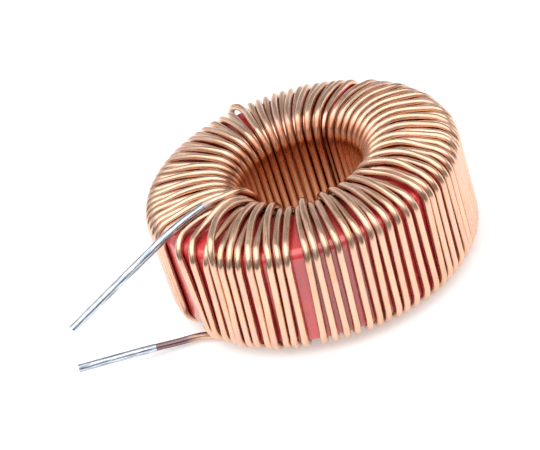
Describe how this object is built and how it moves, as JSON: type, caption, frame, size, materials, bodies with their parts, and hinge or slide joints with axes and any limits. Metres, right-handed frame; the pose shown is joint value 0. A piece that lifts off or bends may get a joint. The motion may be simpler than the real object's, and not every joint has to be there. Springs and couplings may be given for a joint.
{
  "type": "toroidal inductor",
  "caption": "Enamelled copper wire wound round an epoxy-coated powder ring, with both ends brought out at one side as tinned solder leads.",
  "frame": {"origin": "on the ring's axis, level with the lowest point of the winding", "axes": "+Z along the ring's axis, away from the surface it lies on; the leads leave towards -X"},
  "size_m": [0.0461, 0.0348, 0.0147],
  "materials": {
    "powder_core": "matt pressed iron powder",
    "epoxy_coat": "glossy red epoxy",
    "enamelled_wire": "copper under clear glossy enamel",
    "solder": "bright tinned"
  },
  "bodies": {
    "root": {"powder_core": "powder_core", "epoxy_coat": "epoxy_coat", "winding": "enamelled_wire", "top_lead_tin": "solder", "bottom_lead_tin": "solder"}
  },
  "joints": []
}
